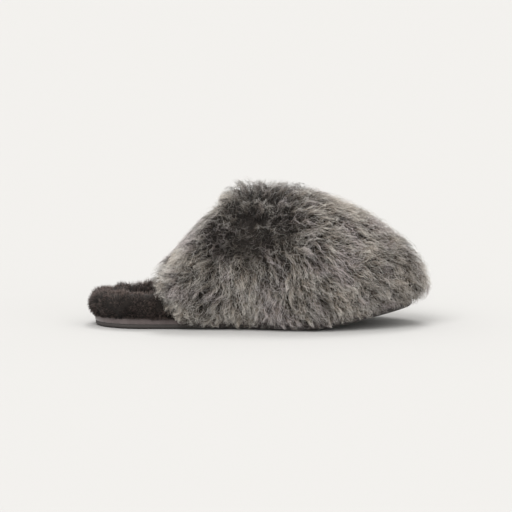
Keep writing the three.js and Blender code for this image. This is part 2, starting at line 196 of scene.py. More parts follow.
def raw_outline(angle):
    """The sole's edge: x runs along the length as a cosine, y is half the width there, closed by elliptical ends."""
    share = (1 - np.cos(angle)) / 2
    outer = np.sin(angle) > 0
    half = (
        HEEL_WIDTH
        + (WAIST_WIDTH - HEEL_WIDTH) * smooth(share, HEEL_END, WAIST)
        + (BALL_WIDTH - WAIST_WIDTH) * smooth(share, WAIST, BALL)
        + (TOE_WIDTH - BALL_WIDTH) * smooth(share, BALL, 1)
    ) / 2
    x = SOLE_LENGTH * share
    opened = 1.0
    for distance, length in ((x, HEEL_ROUND), (SOLE_LENGTH - x, np.where(outer, OUTER_TOE_ROUND, INNER_TOE_ROUND))):
        left = 1 - np.minimum(distance / length, 1)
        opened = opened * np.sqrt(np.maximum(1 - left * left, 0))
    y = TIP_SHIFT * smooth(share, 0.45, 1) + half * opened * np.where(outer, -1, 1)
    return x, y


def outline_normal(angle):
    """Outward normal of the sole's edge, in plan."""
    x1, y1 = raw_outline(angle + STEP)
    x0, y0 = raw_outline(angle - STEP)
    along = unit(np.stack([x1 - x0, y1 - y0], axis=-1))
    return along[..., 1], -along[..., 0]


def outline(angle, inset):
    """A point moved in from the sole's edge by inset."""
    x, y = raw_outline(angle)
    nx, ny = outline_normal(angle)
    return x - nx * inset, y - ny * inset


def wing_curve(share):
    """How far the opening's edge lies behind a plain arch, by its share of the height."""
    return -WING_REACH * np.sin(np.pi * np.power(share, 0.7))


def angle_at(v):
    """Angle on the sole's outline where the hide's v is rooted."""
    return mix(WING_ANGLE, 2 * np.pi - WING_ANGLE, v)


def hide_point(u, v):
    """Outside of the hide: u climbs a quarter arch from the sole's edge to the ridge, and v goes round the toe from the
    outer side of the opening to the inner side."""
    side = np.abs(2 * v - 1)
    angle = angle_at(v)
    foot_x, foot_y = outline(angle, UPPER_INSET)
    out_x, out_y = outline_normal(angle)
    turn = np.clip(u, 0, 1) * np.pi / 2
    rise = np.sin(turn) ** ARCH_FULLNESS
    inwards = 1 - np.maximum(np.cos(turn), 0) ** ARCH_FULLNESS
    top_x = mix(SPINE_FRONT_X, THROAT_X, side**1.15)
    top_y = TIP_SHIFT * 0.6 * smooth(top_x, THROAT_X, SOLE_LENGTH)
    forwards = mix(inwards, np.sin(turn) ** 2, side**3)
    swell = SIDE_BULGE * np.sin(2 * turn)
    back = wing_curve(rise) * smooth(side, 0.55, 1)
    x = mix(foot_x, top_x, forwards) + out_x * swell + back
    y = mix(foot_y, top_y, inwards) + out_y * swell
    return xyz(x, y, mix(FEATHER_Z + toe_lift(foot_x), ridge_z(x), rise))


def hide_normal(u, v):
    """Outward normal of the hide, which both sides share on the ridge."""

    def across_slopes(u, v):
        """The normal as the surface's own slopes give it."""
        u0, u1 = np.clip(u - FINE_STEP, 0, 1), np.clip(u + FINE_STEP, 0, 1)
        v0, v1 = np.clip(v - FINE_STEP, 0, 1), np.clip(v + FINE_STEP, 0, 1)
        return unit(np.cross(hide_point(u, v1) - hide_point(u, v0), hide_point(u1, v) - hide_point(u0, v)))

    below = np.minimum(u, 0.995)
    normal = across_slopes(below, v)
    shared = unit(normal + across_slopes(below, 1 - v))
    normal = unit(mix(normal, shared, smooth(u, 0.97, 1)[..., None]))
    out_x, out_y = outline_normal(angle_at(v))
    return unit(mix(xyz(out_x, out_y, 0 * out_x), normal, smooth(u, 0, 0.02)[..., None]))


def edge_x(z):
    """x of the opening's edge on the hide at a height above the floor."""
    share = np.clip((z - FEATHER_Z) / (RIDGE_HEIGHT - FEATHER_Z), 0, 1)
    turn = np.arcsin(share ** (1 / ARCH_FULLNESS))
    return mix(WING_X, THROAT_X, np.sin(turn) ** 2) + wing_curve(share)


class Sheet:
    """A surface kept as a grid of points and normals, read between its corners by straight interpolation, so that many
    strands can be laid over it at once. Places on it are counted in rows and columns of the grid."""

    def __init__(self, points, normals):
        self.points, self.normals = points, normals
        self.rows, self.columns = points.shape[:2]

    def read(self, values, i, j):
        """What a grid of values of the same size holds at rows i and columns j."""
        i = np.clip(i, 0, self.rows - 1.001)
        j = np.clip(j, 0, self.columns - 1.001)
        a, b = i.astype(int), j.astype(int)
        s, t = (i - a)[:, None], (j - b)[:, None]
        low = mix(values[a, b], values[a, b + 1], t)
        return mix(low, mix(values[a + 1, b], values[a + 1, b + 1], t), s)

    def at(self, i, j, height):
        """Points at a height above the surface."""
        return self.read(self.points, i, j) + self.read(self.normals, i, j) * height[:, None]

    def step(self, i, j, height, move):
        """Where a move along the surface, given as a vector, leads in rows and columns."""
        along_i = self.at(i + 0.5, j, height) - self.at(i - 0.5, j, height)
        along_j = self.at(i, j + 0.5, height) - self.at(i, j - 0.5, height)
        a, b, c = dot(along_i, along_i)[:, 0], dot(along_i, along_j)[:, 0], dot(along_j, along_j)[:, 0]
        p, q = dot(along_i, move)[:, 0], dot(along_j, move)[:, 0]
        det = np.maximum(a * c - b * b, 1e-6)
        return (
            np.clip(i + (p * c - q * b) / det, 0, self.rows - 1.001),
            np.clip(j + (q * a - p * b) / det, 0, self.columns - 1.001),
        )

    def scatter(self, count, rng, weight=None):
        """Random places, evenly by area: cells are drawn by their area, times a weight, and a place by chance in
        each."""
        p = self.points
        area = np.linalg.norm(np.cross(p[1:, 1:] - p[:-1, :-1], p[1:, :-1] - p[:-1, 1:]), axis=-1)
        if weight is not None:
            area = area * weight
        chance = np.cumsum(area.ravel())
        even = (np.arange(count) + rng.uniform(size=count)) / count
        cell = np.searchsorted(chance, even * chance[-1])
        i, j = np.divmod(np.minimum(cell, area.size - 1), area.shape[1])
        return i + rng.uniform(size=count), j + rng.uniform(size=count)


# Meshes.

MAP = "OFBake"  # the map of tone and height along a strand
MAP_ACROSS = (0.01, 0.99)  # from dark to light
MAP_UP = (0.003, 0.997)  # from root to tip
MAP_WIDTH = 0.002  # of one strand, to either side


def new_object(name, data):
    """An object in the scene."""
    made = bpy.data.objects.new(name, data)
    bpy.context.scene.collection.objects.link(made)
    return made


def new_piece(name, node, points, faces, material, uv=None):
    """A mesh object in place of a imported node, from points in sole coordinates and an array of faces of one size."""
    mesh = bpy.data.meshes.new(name)
    place = (np.asarray(points).reshape(-1, 3) + ORIGIN) * MM
    faces = np.asarray(faces)
    mesh.vertices.add(len(place))
    mesh.vertices.foreach_set("co", place.ravel())
    mesh.loops.add(faces.size)
    mesh.loops.foreach_set("vertex_index", faces.ravel().astype(np.int32))
    mesh.polygons.add(len(faces))
    mesh.polygons.foreach_set("loop_start", np.arange(0, faces.size, faces.shape[1], dtype=np.int32))
    mesh.update(calc_edges=True)
    mesh.polygons.foreach_set("use_smooth", np.full(len(faces), True))
    if uv is not None:
        mesh.uv_layers.new(name=MAP).uv.foreach_set("vector", np.asarray(uv, np.float32).ravel())
    mesh.materials.append(material)
    piece = new_object(name, mesh)
    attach(piece, "root")
    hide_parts(node)


def numbered(points, first=0):
    """The numbers of a grid's points, counted on from the first."""
    return first + np.arange(points[..., 0].size).reshape(points.shape[:-1])


def quads(numbers, close_rows=False, close_columns=False):
    """Four-sided faces between the neighbours of a grid of point numbers."""
    if close_rows:
        numbers = np.vstack([numbers, numbers[:1]])
    if close_columns:
        numbers = np.hstack([numbers, numbers[:, :1]])
    corners = numbers[:-1, :-1], numbers[:-1, 1:], numbers[1:, 1:], numbers[1:, :-1]
    return np.stack(corners, axis=-1).reshape(-1, 4)


def shell(inner, outer):
    """Points and faces of a closed wall between two grids of points of one size."""
    a = numbered(inner)
    b = a + a.size
    rim = np.concatenate([a[0], a[1:, -1], a[-1, -2::-1], a[-2:0:-1, 0]])
    faces = [quads(a)[:, ::-1], quads(b), quads(np.stack([rim, rim + a.size]), close_columns=True)]
    return np.concatenate([inner.reshape(-1, 3), outer.reshape(-1, 3)]), np.vstack(faces)


def strands(paths, radii, tone, start):
    """Closed, tapered, three-sided hairs. paths is hairs x points x 3, radii is hairs x points, and the last point is
    the tip. Returns points, triangles, and a map that holds the hair's tone across and the way along it up, from start
    at its root to 1 at its tip."""
    hairs, steps = paths.shape[:2]
    way = unit(np.gradient(paths, axis=1))
    aside = unit(np.cross(way, np.array([0.31, 0.87, 0.38])))
    other = np.cross(way, aside)
    turn = 2 * np.pi * np.arange(3) / 3
    out = aside[:, :-1, None] * np.cos(turn)[:, None] + other[:, :-1, None] * np.sin(turn)[:, None]
    corners = paths[:, :-1, None] + out * radii[:, :-1, None, None]
    points = np.concatenate([corners.reshape(hairs, -1, 3), paths[:, -1:]], axis=1)
    side = np.arange(3)
    after = (side + 1) % 3
    faces = [[2, 1, 0]]
    for k in range(steps - 2):
        low, high = 3 * k, 3 * k + 3
        for a, b in zip(side, after):
            faces += [[low + a, low + b, high + b], [low + a, high + b, high + a]]
    last, tip = 3 * (steps - 2), 3 * (steps - 1)
    faces += [[last + a, last + b, tip] for a, b in zip(side, after)]
    faces = np.array(faces)
    all_faces = faces[None] + (np.arange(hairs) * points.shape[1])[:, None, None]
    height = np.append(np.repeat(np.arange(steps - 1), 3), steps - 1) / (steps - 1)
    spread = np.append(np.tile([-1.0, 0.0, 1.0], steps - 1), 0.0) * MAP_WIDTH
    across = mix(*MAP_ACROSS, tone)[:, None, None] + spread[faces][None]
    up = mix(mix(*MAP_UP, start)[:, None, None], MAP_UP[1], height[faces][None])
    return points.reshape(-1, 3), all_faces.reshape(-1, 3), np.stack([across, up], axis=-1).reshape(-1, 2)


def new_strands(name, node, hairs, material):
    """A piece made of hairs, which are given as the four values that strands takes."""
    points, faces, uv = strands(*hairs)
    new_piece(name, node, points, faces, material, uv)


def by_lock(values, lock):
    """The mean of values over the members of each lock, given back to every member."""
    _, lock = np.unique(lock, return_inverse=True)
    count = np.bincount(lock)
    flat = values.reshape(len(values), -1)
    mean = np.stack([np.bincount(lock, column) / count for column in flat.T], axis=1)
    return mean[lock].reshape(values.shape)


def locks(points, size, seed):
    """A number for the lock that each point belongs to: the nearest of the centres scattered one to a cell."""
    cell = np.floor(points / size).astype(np.int64)
    best = np.full(len(points), np.inf)
    lock = np.zeros(len(points), np.int64)
    for offset in np.ndindex(3, 3, 3):
        near = cell + np.array(offset) - 1
        number = (near[:, 0] * 73856093) ^ (near[:, 1] * 19349663) ^ (near[:, 2] * 83492791) ^ seed
        shake = np.stack([hashed(number, k) for k in range(3)], axis=1)
        far = np.sum(((near + shake) * size - points) ** 2, axis=1)
        closer = far < best
        best[closer], lock[closer] = far[closer], number[closer]
    return lock


def hashed(number, salt):
    """A repeatable random value from 0 to 1 for each whole number. Each salt gives a set of its own."""
    mixed = (number * 2654435761 + salt * 97531 + 12345) & 0x7FFFFFFF
    mixed = (mixed ^ (mixed >> 13)) * 1274126177 & 0x7FFFFFFF
    return (mixed ^ (mixed >> 16)) % 100003 / 100003


# Colours and materials.


def srgb(code):
    """A hex colour as linear red, green, blue and alpha 1."""
    values = [int(code[k : k + 2], 16) / 255 for k in (1, 3, 5)]
    return [v / 12.92 if v <= 0.04045 else ((v + 0.055) / 1.055) ** 2.4 for v in values] + [1.0]


def add(tree, kind, links=None, settings=None, stops=(), **sockets):
    """Adds one node: settings are its properties, sockets its input values, and links join its inputs to outputs. Stops
    are the [place, hex colour] pairs of a ramp."""
    node = tree.nodes.new(kind)
    for key, value in (settings or {}).items():
        setattr(node, key, value)
    for _ in range(len(stops) - 2):
        node.color_ramp.elements.new(0.5)
    for element, (place, code) in zip(node.color_ramp.elements if stops else (), stops):
        element.position, element.color = place, srgb(code)
    for key, value in sockets.items():
        node.inputs[key].default_value = value
    for key, output in (links or {}).items():
        tree.links.new(output, node.inputs[key])
    return node


def new_material(name):
    """An empty node material and its tree."""
    material = bpy.data.materials.new(name)
    material.use_nodes = True
    material.node_tree.nodes.clear()
    return material, material.node_tree


RAMP = "ShaderNodeValToRGB"
SURFACE = "ShaderNodeBsdfPrincipled"
CLOUD_MM = 11.0  # patches of slightly other tint in the wool
RELIEF_DEPTH = 0.0006  # m


def per_metre(grain_mm):
    """Scale of a noise whose bright and dark spots are each about grain_mm across."""
    return 1000 / (2 * grain_mm)


def wool_material(name, stops, dark, light, through, sheen):
    """Wool fibre: its colour runs up the hair through the stops, from root to tip, and its tone runs from dark to light
    across the map. The share of light that goes through it lights up thin edges."""
    material, tree = new_material(name)
    place = add(tree, "ShaderNodeUVMap", settings={"uv_map": MAP}).outputs["UV"]
    split = add(tree, "ShaderNodeSeparateXYZ", {"Vector": place})
    along = add(tree, RAMP, {"Fac": split.outputs["Y"]}, stops=stops).outputs[0]
    tone = add(tree, RAMP, {"Fac": split.outputs["X"]}, stops=[[0, dark], [1, light]]).outputs[0]
    where = add(tree, "ShaderNodeTexCoord").outputs["Object"]
    cloud = add(tree, "ShaderNodeTexNoise", {"Vector": where}, Scale=per_metre(CLOUD_MM), Detail=1.0).outputs[0]
    tint = add(tree, RAMP, {"Fac": cloud}, stops=[[0.35, "#fffbf5"], [0.5, "#fffefb"], [0.65, "#faf5f7"]]).outputs[0]
    colour = along
    for other in (tone, tint):
        colour = add(
            tree, "ShaderNodeMix", {6: colour, 7: other}, {"data_type": "RGBA", "blend_type": "MULTIPLY"}, Factor=1.0
        ).outputs[2]
    fibre = {"Roughness": 0.6, "Sheen Weight": sheen, "Sheen Roughness": 0.4, "Specular IOR Level": 0.3}
    surface = add(tree, SURFACE, {"Base Color": colour}, **fibre)
    glow = add(tree, "ShaderNodeBsdfTranslucent", {"Color": colour})
    both = add(tree, "ShaderNodeMixShader", {1: surface.outputs[0], 2: glow.outputs[0]}, Fac=through)
    add(tree, "ShaderNodeOutputMaterial", {"Surface": both.outputs[0]})
    return material


def plain_material(name, dark, light, grain_mm, roughness, relief, sheen=0.0, fine_mm=None):
    """A surface whose colour wanders between two tones with a grain of the given size, and whose relief has the same
    grain with a finer one on it."""
    material, tree = new_material(name)
    place = add(tree, "ShaderNodeTexCoord").outputs["Object"]
    grain = add(tree, "ShaderNodeTexNoise", {"Vector": place}, Scale=per_metre(grain_mm), Detail=5.0)
    fine = add(tree, "ShaderNodeTexNoise", {"Vector": place}, Scale=per_metre(fine_mm or grain_mm / 4), Detail=3.0)
    both = add(tree, "ShaderNodeMix", {2: grain.outputs[0], 3: fine.outputs[0]}, Factor=0.45).outputs[0]
    colour = add(tree, RAMP, {"Fac": both}, stops=[[0.35, dark], [0.65, light]]).outputs[0]
    height = add(tree, "ShaderNodeBump", {"Height": both}, Strength=relief, Distance=RELIEF_DEPTH)
    finish = {"Roughness": roughness, "Sheen Weight": sheen, "Specular IOR Level": 0.35}
    surface = add(tree, SURFACE, {"Base Color": colour, "Normal": height.outputs[0]}, **finish)
    add(tree, "ShaderNodeOutputMaterial", {"Surface": surface.outputs[0]})
    return material


def where_sole_starts():
    """The shift from the sole's coordinates to the frame's, in mm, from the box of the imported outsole."""
    low = np.array(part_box("outsole")[0]) / MM
    _, y = raw_outline(np.linspace(0, 2 * np.pi, 64, endpoint=False))
    return np.array([low[0], low[1] - y.min(), 0.0])


ORIGIN = where_sole_starts()


# What a user may change.


def size_setting(name, description, metres):
    """A length that a user may set."""
    return bpy.props.FloatProperty(name=name, description=description, default=metres, unit="LENGTH")


def colour_setting(name, description, code):
    """A colour that a user may set, as an sRGB hex code."""
    return bpy.props.StringProperty(name=name, description=description, default=code)


class SlipperSizes(bpy.types.PropertyGroup):
    """Sizes of the wool."""

    long_hair: size_setting("Long hair", "Length of the combed wool", 0.025)
    hair_width: size_setting("Hair width", "Thickness of a drawn strand at its root", 0.00035)
    lock_width: size_setting("Lock width", "Distance between locks of long wool", 0.0025)
    short_pile: size_setting("Short pile", "Length of the sheared wool", 0.0075)
    hairs: bpy.props.IntProperty(name="Hairs", description="Strands in each panel of long wool", default=3950)


class SlipperColours(bpy.types.PropertyGroup):
    """Colours of the parts that show."""

    long_root: colour_setting("Long wool root", "Colour near the hide", "#231a14")
    long_middle: colour_setting("Long wool", "Colour along the hair", "#bbb1a7")
    long_tip: colour_setting("Long wool tip", "Colour of the tips", "#fbf8f5")
    short_root: colour_setting("Short wool root", "Colour near the skin", "#150f0d")
    short_middle: colour_setting("Short wool", "Colour of the pile", "#352825")
    short_tip: colour_setting("Short wool tip", "Colour of the tips", "#95857f")
    suede: colour_setting("Suede", "Colour of the sole's band", "#685e5d")
    rubber: colour_setting("Rubber", "Colour of the outsole", "#474341")


# The long wool.

ROWS_UP = 46
COLUMNS_ROUND = 170
ROWS_CLOSER = 1.2  # power that sets the rows closer together near the sole
EDGE_COLUMNS = 8  # grid columns that carry the surface on past the opening's edge
EDGE_STEP = 2.2
EDGE_ROUND = 13.0  # radius of the roll past the edge
HEM_ROWS = 5  # and rows that carry it on below the hide's lower edge
HEM_STEP = 1.8
HEM_DEPTH = 5.5  # depths of the wool in its several parts
SIDE_DEPTH = 14.0
TOE_DEPTH = 15.0
INSTEP_DEPTH = 20.0
OUTER_WHORL = np.array([127.0, -40.0, 80.0])
INNER_WHORL = np.array([142.0, 42.0, 84.0])
WHORL_SHADE = np.array([125.0, -44.0, 75.0])  # the parting under the outer whorl, where the dark roots show
WHORL_REACH = np.array([26.0, 30.0, 12.0])
FAN = np.array([132.0, -52.0, 45.0])  # the pale fan under the parting
FAN_REACH = 22.0
CROWN = np.array([132.0, 0.0, 90.0])  # round here the wool stands up
CROWN_REACH = np.array([38.0, 60.0, 24.0])
EDDY = (34.0, 0.26)  # size and strength of the wide eddies in the combing
FLICK = (11.0, 0.32)  # and of the narrow ones
WHORL_CORE = 12.0  # nearer than this to a whorl's middle the combing fades
BACK_PULL = 1.5  # how hard the wool is combed backwards near the opening
BACK_CORNER = (43.0, 40.0)  # x and z of the corner in the line behind the opening
BACK_SLOPES = (0.78, 0.83)  # x gained for each mm below and above it
HANG_BACK = 10.0  # how far the lower tufts may hang back past that line
RAGGED = 8.0  # how much the line differs from tuft to tuft
HEM = (1.2, 10.5)  # least and greatest height of the lower tufts over the ground line of the sole
HAIR_STEPS = 9
ROOT_HEIGHT = 1.0
STRAY = 0.24  # share of hairs that lie across the others
LOCKS = (0.9, 1.6, 2.8)  # sizes of small, wide and big locks, in lock widths
CRIMP = 1.3  # how far a lock waves to either side
CRIMP_LENGTHS = (6.0, 9.0)
FRIZZ = 0.22  # how far each hair strays from its lock's wave
OVER_RIDGE = 14.0  # how far the locks on the ridge spread to either side
UNDERCOAT = 0.34  # its depth, as a share of the wool's
PANELS = (
    "fur_outer_back",
    "fur_outer_middle",
    "fur_outer_ball",
    "fur_outer_front",
    "fur_toe",
    "fur_inner_front",
    "fur_inner_middle",
    "fur_inner_back",
)


def fur_grid():
    """u and v of the long wool's grid, and how far each column and row lies past the hide's edges."""
    u = np.linspace(0, 1, ROWS_UP) ** ROWS_CLOSER
    v = np.linspace(0, 1, COLUMNS_ROUND)
    u = np.concatenate([np.zeros(HEM_ROWS), u])
    v = np.concatenate([np.zeros(EDGE_COLUMNS), v, np.ones(EDGE_COLUMNS)])
    drop = np.concatenate([np.arange(HEM_ROWS, 0, -1) * HEM_STEP, np.zeros(ROWS_UP)])
    past = np.concatenate([np.arange(EDGE_COLUMNS, 0, -1), np.zeros(COLUMNS_ROUND), np.arange(1, EDGE_COLUMNS + 1)])
    return *grid(u, v), *grid(drop, past * EDGE_STEP)


def fur_sheet():
    """The surface the long wool grows on. Past the opening's edge it rolls over and in, on an arc, and below the hide's
    lower edge it goes straight down."""
    u, v, drop, past = fur_grid()
    points, normals = hide_point(u, v), hide_normal(u, v)
    inside = hide_point(u, np.where(v < 0.5, v + STEP, v - STEP)) - hide_point(u, v)
    back = unit(-(inside - normals * dot(inside, normals)))
    roll = past[..., None] / EDGE_ROUND
    points = points + (back * np.sin(roll) - normals * (1 - np.cos(roll))) * EDGE_ROUND
    normals = normals * np.cos(roll) + back * np.sin(roll)
    points[..., 2] -= drop
    return Sheet(points, normals), u, v


def fur_depth(u, v):
    """Depth of the long wool: deepest on the instep, shallow at the lower edge, and less along the opening."""
    side = np.abs(2 * v - 1)
    top = mix(TOE_DEPTH, INSTEP_DEPTH, smooth(side, 0.15, 0.8))
    edge = mix(1, 0.68, smooth(side, 0.8, 1) * smooth(u, 0.4, 1))
    body = mix(SIDE_DEPTH, top, smooth(u, 0.25, 0.9)) * edge
    return mix(HEM_DEPTH, mix(TOE_DEPTH, body, smooth(side, 0, 0.35)), smooth(u, -0.3, 0.22))


def eddies(points, size, seed):
    """Soft noise as a vector at each point."""
    return np.stack([waves(points, size, seed + k) for k in range(3)], axis=1)


def combing(points, normals):
    """The way the wool is combed: away from a whorl on each side, and down, with a pull backwards near the opening.
    Returns unit vectors along the surface and how firmly the wool lies that way."""
    x, z = points[:, :1], points[:, 2:]
    inner = smooth(points[:, 1:2], -14, 18)
    away = points - mix(OUTER_WHORL, INNER_WHORL, inner)
    far = np.linalg.norm(away, axis=1, keepdims=True)
    low_back = smooth(-away[:, :1], 15, 45) * (1 - smooth(z, 45, 65))
    down = mix(0.42, 1.0, smooth(z, 70, 98)) - 0.3 * low_back
    way = away / np.maximum(far, WHORL_CORE) - np.array([0, 0, 1.0]) * down
    near = 1 - smooth(x - edge_x(z), 2, 20)
    way -= np.array([BACK_PULL, 0, 0]) * near * smooth(z, 30, 50)
    way = way + eddies(points, EDDY[0], 11) * EDDY[1] + eddies(points, FLICK[0], 21) * FLICK[1]
    way = way - normals * dot(way, normals)
    return unit(way), np.linalg.norm(way, axis=1)


def back_line(y, z):
    """x of the line that the wool's tips keep to behind the opening's edge: two straight lines that meet in a corner,
    further forward over the corner and on the inner side."""
    x, corner_z = BACK_CORNER
    straight = x + np.where(z < corner_z, (corner_z - z) * BACK_SLOPES[0], (z - corner_z) * BACK_SLOPES[1])
    return straight + 5 * smooth(z, 42, 58) + 4.5 * smooth(y, -5, 25)


def shortened(paths, root_room, tip_room):
    """Paths drawn back towards their roots until their tips are inside a limit. The rooms are the distances of root and
    tip from that limit, and are negative outside it."""
    part = np.clip(root_room / np.maximum(root_room - tip_room, 0.01), 0.2, 1)
    part = np.where(tip_room < 0, part, 1)
    return paths[:, :1] + (paths - paths[:, :1]) * part[:, None, None]


def root_weights(sheet, u, v):
    """How closely the hairs stand in each cell of the grid: only on the hide, closer along its edges, and wider apart
    in the parting and on the crown."""
    rooted = np.zeros(u.shape, bool)
    rooted[HEM_ROWS:, EDGE_COLUMNS:-EDGE_COLUMNS] = True
    cell = (rooted[1:, 1:] & rooted[:-1, :-1]).astype(float)
    side = np.abs(2 * v[:-1, :-1] - 1)
    cell *= 1 + 3.0 * smooth(side, 0.93, 1) + 0.5 * smooth(-u[:-1, :-1], -0.1, 0)
    cell *= 1 - 0.6 * bump(sheet.points, WHORL_SHADE, WHORL_REACH)[:-1, :-1]
    cell *= 1 - 0.3 * bump(sheet.points, CROWN, CROWN_REACH)[:-1, :-1]
    return cell


class LongHairs:
    """The long hairs: where each is rooted, which lock it belongs to and what part of the wool it is in, each value as
    one array over all hairs. Some hairs are strays, which go their own way over the rest."""

    def __init__(self, count, lock_size):
        self.count = count
        self.rng = np.random.default_rng(7)
        self.share = np.arange(HAIR_STEPS) / (HAIR_STEPS - 1)
        sheet, grid_u, grid_v = fur_sheet()
        i, j = sheet.scatter(count, self.rng, root_weights(sheet, grid_u, grid_v))
        order = np.argsort(j)
        i, j = i[order], j[order]
        u = sheet.read(grid_u[..., None], i, j)[:, 0]
        v = sheet.read(grid_v[..., None], i, j)[:, 0]
        root = sheet.at(i, j, np.full(count, ROOT_HEIGHT))
        _, firm = combing(root, sheet.read(sheet.normals, i, j))
        self.sheet, self.i, self.j, self.u, self.v, self.root = sheet, i, j, u, v, root
        self.crown = bump(root, CROWN, CROWN_REACH)
        self.whorl = bump(root, WHORL_SHADE, WHORL_REACH)
        self.upright = np.maximum(self.crown, self.whorl)
        self.lies = smooth(firm, 0.25, 1.0) * (1 - 0.85 * self.crown)
        self.edge = smooth(np.abs(2 * v - 1), 0.92, 1) * smooth(u, 0.1, 0.35)
        self.at_toe = smooth(root[:, 0], 185, 240)
        small, wide, self.big_lock = (locks(root, lock_size * LOCKS[k], seed) for k, seed in enumerate((5, 6, 9)))
        self.lock = np.where(hashed(wide, 20) < 0.35 + 0.5 * self.upright, wide, small)
        self.raised = smooth(hashed(self.lock, 10), 0.2, 0.8)
        self.own = self.rng.uniform(size=count)
        strays = (STRAY + 0.2 * self.edge + 0.1 * smooth(u, 0.6, 0.9)) * (1 - 0.7 * self.crown)
        self.stray = self.rng.uniform(size=count) < strays

    def measures(self, length):
        """Depth of each hair in the wool, and its length."""
        depth = fur_depth(self.u, self.v)
        rank = mix(mix(0.62, 1.1, self.raised), 0.9, 0.3 * self.crown) * (1 - 0.25 * self.whorl)
        rank = rank * mix(0.75, 1.04, self.rng.uniform(size=self.count))
        depth = np.where(self.stray, depth * mix(0.8, 1.2, self.own**1.2), depth * rank * mix(1.3, 1.06, self.lies))
        reach = length * mix(0.75, 1.18, self.own) * mix(0.85, 1.15, hashed(self.lock, 1))
        reach = reach * mix(1, 0.78, smooth(self.root[:, 0], 165, 235))
        reach = mix(depth * 1.15, reach * (1 + 0.35 * self.edge), self.lies)
        return np.minimum(depth, reach * 0.9), reach

    def grow(self, depth, reach):
        """Paths that leave the hide, climb quickly to their depth and then run along the combing, swung to one side by
        an angle of their own. Returns them with the directions sideways and outwards at their points."""
        rng, lock, big_lock, stray = self.rng, self.lock, self.big_lock, self.stray
        swing = (hashed(lock, 11) - 0.5) * 1.0 + (hashed(big_lock, 12) - 0.5) * 0.5 + rng.normal(size=self.count) * 0.13
        swing = np.where(stray, rng.normal(size=self.count) * 0.7, swing)
        swing = swing * mix(2.2, 1, self.lies) * (1 - 0.6 * self.edge)
        turn, aside = np.cos(swing)[:, None], np.sin(swing)[:, None]
        paths = np.zeros((self.count, HAIR_STEPS, 3))
        sideways, outwards = np.zeros_like(paths), np.zeros_like(paths)
        bend = mix(1.2, 2.4, self.lies)
        sheet, i, j = self.sheet, self.i, self.j
        height = np.full(self.count, ROOT_HEIGHT)
        paths[:, 0] = self.root
        for k in range(1, HAIR_STEPS):
            point, normal = sheet.at(i, j, height), sheet.read(sheet.normals, i, j)
            way, _ = combing(point, normal)
            across = np.cross(normal, way)
            way, across = way * turn + across * aside, across * turn - way * aside
            next_height = ROOT_HEIGHT + (depth - ROOT_HEIGHT) * (1 - (1 - self.share[k]) ** bend)
            rise = next_height - height
            go = np.sqrt(np.maximum((reach / (HAIR_STEPS - 1)) ** 2 - rise**2, 0.04))
            i, j = sheet.step(i, j, height, way * go[:, None])
            height = next_height
            paths[:, k] = sheet.at(i, j, height)
            sideways[:, k], outwards[:, k] = across, normal
        return paths, sideways, outwards

    def gather(self, paths):
        """Draws the hairs of one lock together towards their tips, and the locks a little into bigger ones."""
        small, big = by_lock(paths, self.lock), by_lock(paths, self.big_lock)
        held = np.where(self.stray, 0.0, (1 - 0.7 * self.edge) * (1 - 0.35 * self.at_toe))
        pull = (self.share**1.2)[None, :, None] * held[:, None, None]
        paths += (small - paths) * pull * mix(0.55, 0.97, np.maximum(self.raised, self.upright))[:, None, None]
        paths += (big - paths) * pull * 0.16

    def wave(self, paths, reach, sideways, outwards):
        """Gives the hairs of a lock a common wave and every hair a little of its own, and hides the line where the two
        sides meet on the ridge."""
        lock, share = self.lock, self.share
        phase = hashed(lock, 4)[:, None] * 2 * np.pi + self.rng.normal(size=self.count)[:, None] * 0.35
        beat = 2 * np.pi * share[None] * (reach / mix(*CRIMP_LENGTHS, hashed(lock, 5)))[:, None]
        size = (CRIMP * mix(2.3, 1.0, self.lies) * mix(0.5, 1.3, hashed(lock, 6)))[:, None]
        size = size * np.minimum(share * 2.5, 1)[None]
        paths += sideways * (np.sin(phase + beat) * size)[..., None]
        paths += outwards * (np.cos(phase * 1.7 + beat) * size * 0.7)[..., None]
        paths[:, 1:] += self.rng.normal(size=(self.count, HAIR_STEPS - 1, 3)) * FRIZZ * share[1:, None]
        over_ridge = smooth(self.u, 0.88, 0.98) * (hashed(lock, 17) - 0.5) * OVER_RIDGE
        paths[..., 1] += over_ridge[:, None] * share

    def trim(self, paths):
        """Draws hairs back that hang below a ragged hem over the sole, or reach too far behind the opening."""
        hem = mix(*HEM, hashed(self.lock, 2) ** 1.4 * 0.8 + self.own * 0.2)
        above = paths[..., 2] - toe_lift(paths[..., 0]) - hem[:, None]
        paths = shortened(paths, np.maximum(above[:, 0], 1.0), above[:, -1])
        ragged = RAGGED * (hashed(self.big_lock, 21) - 0.4) * (1 - smooth(self.root[:, 2], 35, 55))
        ahead = paths[..., 0] - back_line(paths[..., 1], paths[..., 2]) + 3 + ragged[:, None]
        tip_z = paths[:, -1, 2]
        to_edge = edge_x(tip_z) - back_line(paths[:, -1, 1], tip_z) - 4
        above_corner = np.where(self.stray, 1.1 * self.own, mix(0.6, 1.0, self.own)) * to_edge
        loose = mix(HANG_BACK * hashed(self.lock, 13), above_corner, smooth(tip_z, 36, 56))
        loose = np.clip(loose, 0, np.maximum(ahead[:, 0] - 5, 0))
        return shortened(paths, ahead[:, 0] - loose, ahead[:, -1] - loose)

    def radii(self, width):
        """Radius along each hair. Strays are thinner."""
        thick = width / 2 * mix(0.75, 1.2, self.rng.uniform(size=self.count))
        thick = thick * np.where(self.stray, 0.5, 1 - 0.4 * self.edge)
        return thick[:, None] * (1 - 0.7 * self.share**1.6)[None]

